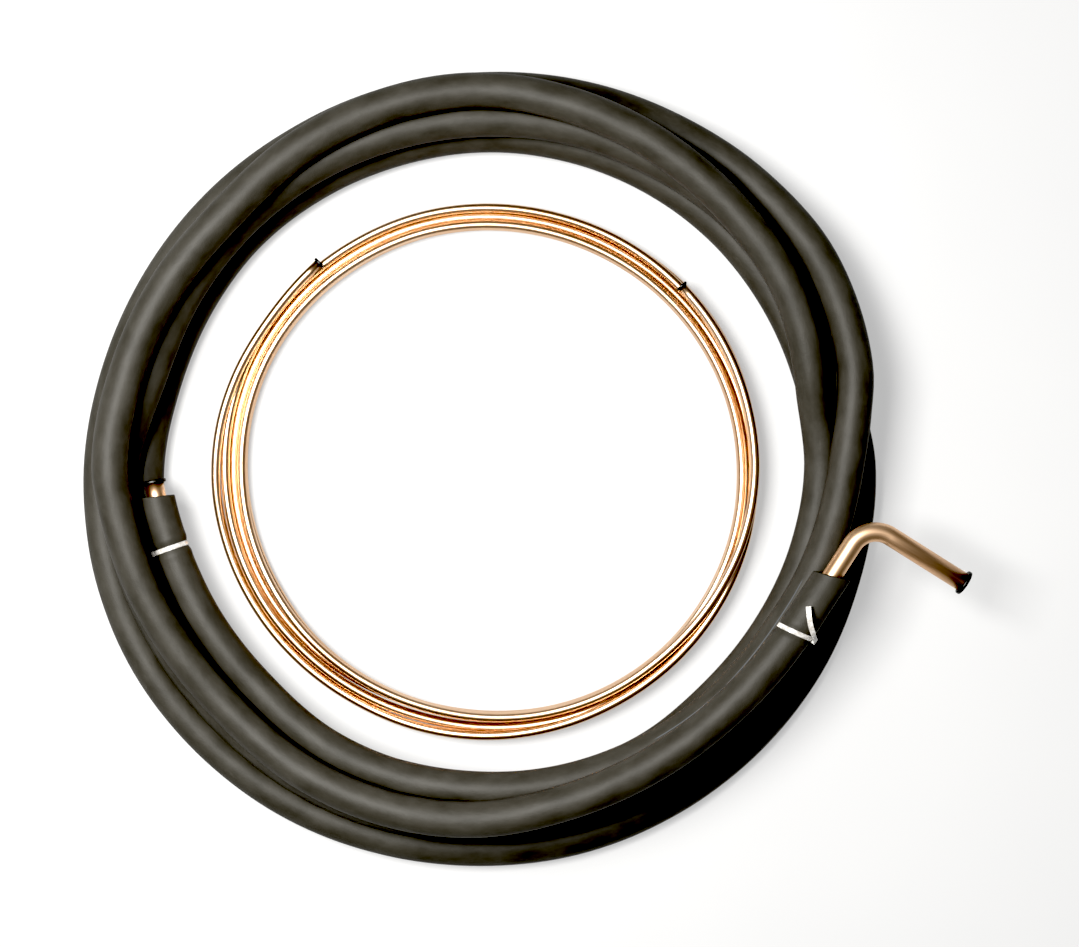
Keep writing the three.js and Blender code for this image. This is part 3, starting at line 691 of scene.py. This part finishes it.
SUCTION_PLUG = (SUCTION_OD, SUCTION_WALL, SUCTION_CAP_LIP, SUCTION_CAP_THICK, SUCTION_STEM_LENGTH)
LIQUID_PLUG = (LIQUID_OD, LIQUID_WALL, LIQUID_CAP_LIP, LIQUID_CAP_THICK, LIQUID_STEM_LENGTH)
plug("plug_stub", *SUCTION_PLUG, stub_end, -1, ["suction_cap_stub"])
plug("plug_elbow", *SUCTION_PLUG, elbow_end, 1, ["suction_cap_elbow"])
plug("plug_liquid_left", *LIQUID_PLUG, liquid_rings[0], -1, ["liquid_cap_left"])
plug("plug_liquid_right", *LIQUID_PLUG, liquid_rings[-1], 1, ["liquid_cap_right"])


# The ties: a strap round the neck in the foam, a head, and the free tail of the right one
TIE_HEAD_FOOT = FOAM_OD / 2 - 0.2
TIE_HEAD_BEVEL = 0.7
TIE_CORNER_CUT = 0.35
TAIL_WIDTH = TIE_WIDTH * 1.05
TAIL_THICK = 1.2


def strap_mesh(frames, section, closed):
    """A strip swept through (place, across, thick) frames."""
    verts, faces = [], []
    m = len(section)
    for at, across, thick in frames:
        for a, b in section:
            verts.append(to_row(at + across * a + thick * b))
    n = len(frames)
    for i in range(n if closed else n - 1):
        q = (i + 1) % n
        for j in range(m):
            k = (j + 1) % m
            faces.append((i * m + j, i * m + k, q * m + k, q * m + j))
    if not closed:
        faces.append(tuple(range(m - 1, -1, -1)))
        faces.append(tuple((n - 1) * m + j for j in range(m)))
    return verts, faces


def rounded_box(centre, ax, ay, az, sx, sy, sz, bevel):
    """Corners, edges and faces of a box with cut edges, as vertices and faces."""
    verts, faces = [], []
    grid = {}
    levels = [-1, 1]
    for fx in levels:
        for fy in levels:
            for fz in levels:
                for axis in range(3):
                    p = [fx * (sx / 2), fy * (sy / 2), fz * (sz / 2)]
                    for other in range(3):
                        if other != axis:
                            p[other] -= (fx, fy, fz)[other] * bevel
                    grid[(fx, fy, fz, axis)] = len(verts)
                    verts.append(to_row(centre + ax * p[0] + ay * p[1] + az * p[2]))
    for fx in levels:
        for fy in levels:
            for fz in levels:
                t = [grid[(fx, fy, fz, a)] for a in range(3)]
                faces.append(tuple(t) if fx * fy * fz > 0 else tuple(reversed(t)))
    for axis in range(3):
        o1, o2 = [a for a in range(3) if a != axis]
        for f in levels:
            ring = []
            for g1, g2 in ((-1, -1), (1, -1), (1, 1), (-1, 1)):
                k = [0, 0, 0]
                k[axis], k[o1], k[o2] = f, g1, g2
                ring.append(grid[(*k, axis)])
            sign = f if axis != 1 else -f
            faces.append(tuple(ring) if sign > 0 else tuple(reversed(ring)))
        for g1 in levels:
            for g2 in levels:
                k1, k2 = [0, 0, 0], [0, 0, 0]
                k1[axis], k1[o1], k1[o2] = -1, g1, g2
                k2[axis], k2[o1], k2[o2] = 1, g1, g2
                quad = (grid[(*k1, o1)], grid[(*k2, o1)], grid[(*k2, o2)], grid[(*k1, o2)])
                sign = g1 * g2 * (1 if axis != 1 else -1)
                faces.append(quad if sign > 0 else tuple(reversed(quad)))
    return verts, faces


def cut_corner_section(half_width, half_thick, cut):
    """The section of a strap, an oblong with its corners cut off."""
    w, h = half_width, half_thick
    return [(-w + cut, -h), (w - cut, -h), (w, -h + cut), (w, h - cut), (w - cut, h),
            (-w + cut, h), (-w, h - cut), (-w, -h + cut)]


def smooth_path(points, steps):
    """A Catmull-Rom curve through points."""
    path = []
    ends = [points[0] * 2 - points[1], *points, points[-1] * 2 - points[-2]]
    for i in range(1, len(ends) - 2):
        p0, p1, p2, p3 = ends[i - 1:i + 3]
        for q in range(steps):
            t = q / steps
            path.append(0.5 * ((2 * p1) + (p2 - p0) * t
                               + (2 * p0 - 5 * p1 + 4 * p2 - p3) * t * t
                               + (3 * p1 - p0 - 3 * p2 + p3) * t * t * t))
    path.append(points[-1])
    return path


def tail_mesh(at, out, along):
    """The free end of the right tie, which comes out of its head and curls back over the foam."""
    edge = FOAM_OD / 2
    in_head = TIE_HEAD_FOOT + TIE_HEAD_DEPTH * 0.5
    # Places out from the foam's middle, up from it, and along it, in mm
    points = [(in_head, 2.0, 0.0), (in_head, edge * 0.54, 0.5),
              (TIE_HEAD_FOOT * 0.75, edge + 4, 4), (TIE_HEAD_FOOT * 0.2, edge + 8, 11),
              (-TIE_HEAD_FOOT * 0.42, edge + 6, 23.5)]
    path = smooth_path([at + out * o + Vector((0, 0, 1)) * u + along * a for o, u, a in points],
                       TAIL_STEPS)
    frames = []
    for i, p in enumerate(path):
        d = (path[min(i + 1, len(path) - 1)] - path[max(i - 1, 0)]).normalized()
        across = (along - d * along.dot(d)).normalized()
        frames.append((p, across, d.cross(across).normalized()))
    return strap_mesh(frames, cut_corner_section(TAIL_WIDTH / 2, TAIL_THICK / 2, 0.2), False)


def tie(name, angle, nodes, tail, skew=0.0):
    """A strap round the neck in the foam, its head, and its tail; skew sets the head askew."""
    at = suction_point(angle)
    along = direction(suction_point, angle, foam_start, foam_end)
    level_out = Vector((math.cos(math.radians(angle)), math.sin(math.radians(angle)), 0))
    out = (level_out - along * level_out.dot(along)).normalized()
    up = out.cross(along).normalized()
    if up.z < 0:
        up = -up
    middle = FOAM_OD / 2 - TIE_BITE + TIE_CLEARANCE + TIE_THICK / 2
    frames = []
    for i in range(STRAP_STEPS):
        th = 2 * math.pi * i / STRAP_STEPS
        radial = out * math.cos(th) + up * math.sin(th)
        frames.append((at + radial * middle + along * (skew * (1 + math.cos(th))), along, radial))
    section = cut_corner_section(TIE_WIDTH / 2, TIE_THICK / 2, TIE_CORNER_CUT)
    verts, faces = strap_mesh(frames, section, True)
    head_at = at + along * (2 * skew)
    extras = [rounded_box(head_at + out * (TIE_HEAD_FOOT + TIE_HEAD_DEPTH / 2), out, up, along,
                          TIE_HEAD_DEPTH, TIE_HEAD_HEIGHT, TIE_HEAD_WIDTH, TIE_HEAD_BEVEL)]
    if tail:
        extras.append(tail_mesh(head_at, out, along))
    for more_verts, more_faces in extras:
        faces += [tuple(len(verts) + v for v in f) for f in more_faces]
        verts += more_verts
    obj = new_object(name, verts, faces, TIE, smooth=False)
    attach(obj, "root")
    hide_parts(*nodes)
    return obj


tie("tie_left", LEFT_TIE_ANGLE, ["foam_tie_left"], False)
tie("tie_right", RIGHT_TIE_ANGLE, ["foam_tie_right"], True, RIGHT_TIE_SKEW)

# The floor, in metres: wide enough to fill every view, and just under the lowest turn
FLOOR_HALF = 6.0
FLOOR_TOP = -0.0005
FLOOR_GLOW = 0.49


def floor_material():
    """A matt pale studio floor that glows a little, as a lit white sweep does."""
    mat, nt, bsdf = material("studio_floor")
    soft = noise_node(nt, 3, 2, 0.5, node(nt, "ShaderNodeTexCoord").outputs["Object"])
    tone = ramp(nt, soft.outputs["Fac"], [
        (0.3, (0.30, 0.30, 0.302)), (0.7, (0.315, 0.315, 0.315))])
    nt.links.new(tone.outputs[0], bsdf.inputs["Base Color"])
    bsdf.inputs["Roughness"].default_value = 0.95
    bsdf.inputs["Specular IOR Level"].default_value = 0.1
    bsdf.inputs["Emission Color"].default_value = (1, 1, 1, 1)
    bsdf.inputs["Emission Strength"].default_value = FLOOR_GLOW
    return mat


mesh = bpy.data.meshes.new("floor")
corners = [(-1, -1), (1, -1), (1, 1), (-1, 1)]
mesh.from_pydata([(x * FLOOR_HALF, y * FLOOR_HALF, FLOOR_TOP) for x, y in corners], [],
                 [(0, 1, 2, 3)])
floor = bpy.data.objects.new("floor", mesh)
bpy.context.scene.collection.objects.link(floor)
floor.data.materials.append(floor_material())


# Light: one soft lamp high on the left, in a pale room
def area(name, place, target, size, watts, colour):
    """A rectangular lamp that faces its target; places and sizes in metres."""
    data = bpy.data.lights.new(name, "AREA")
    data.shape = "RECTANGLE"
    data.size, data.size_y = size
    data.energy = watts
    data.color = colour
    obj = bpy.data.objects.new(name, data)
    bpy.context.scene.collection.objects.link(obj)
    obj.location = place
    aim = Vector(target) - Vector(place)
    obj.rotation_euler = aim.to_track_quat("-Z", "Y").to_euler()
    return obj


area("key", (-0.62, 0.20, 1.85), (0, 0, 0), (0.75, 0.75), 82, (1.0, 0.99, 0.965))
world = bpy.data.worlds.new("room")
bpy.context.scene.world = world
world.use_nodes = True
wnt = world.node_tree
bg = wnt.nodes["Background"]
bg.inputs["Color"].default_value = (0.96, 0.97, 1.0, 1)
bg.inputs["Strength"].default_value = 0.16

# Camera: straight above, as in the photograph
CAMERA_HEIGHT = 2.0
MM_PER_PX = 1.045
PHOTO_WIDTH_PX = 1079
PHOTO_MIDDLE_PX = (539.5, 473.5)
COIL_MIDDLE_PX = (483, 468)
SENSOR_WIDTH = 36
cam_data = bpy.data.cameras.new("camera")
cam_data.sensor_width = SENSOR_WIDTH
cam_data.lens = SENSOR_WIDTH * CAMERA_HEIGHT * 1000 / (MM_PER_PX * PHOTO_WIDTH_PX)
camera = bpy.data.objects.new("camera", cam_data)
bpy.context.scene.collection.objects.link(camera)
right_of_coil = (PHOTO_MIDDLE_PX[0] - COIL_MIDDLE_PX[0]) * MM_PER_PX
above_coil = (COIL_MIDDLE_PX[1] - PHOTO_MIDDLE_PX[1]) * MM_PER_PX
camera.location = ((CENTRE.x + right_of_coil) / 1000, (CENTRE.y + above_coil) / 1000,
                   CAMERA_HEIGHT)
camera.rotation_euler = (0, 0, 0)
bpy.context.scene.camera = camera

# The photograph's deep blacks, set in the view and not in the materials
view = bpy.context.scene.view_settings
view.view_transform = "Standard"
view.look = "None"
view.exposure = 0.0
view.use_curve_mapping = True
view.curve_mapping.black_level = (0.070, 0.0695, 0.0705)
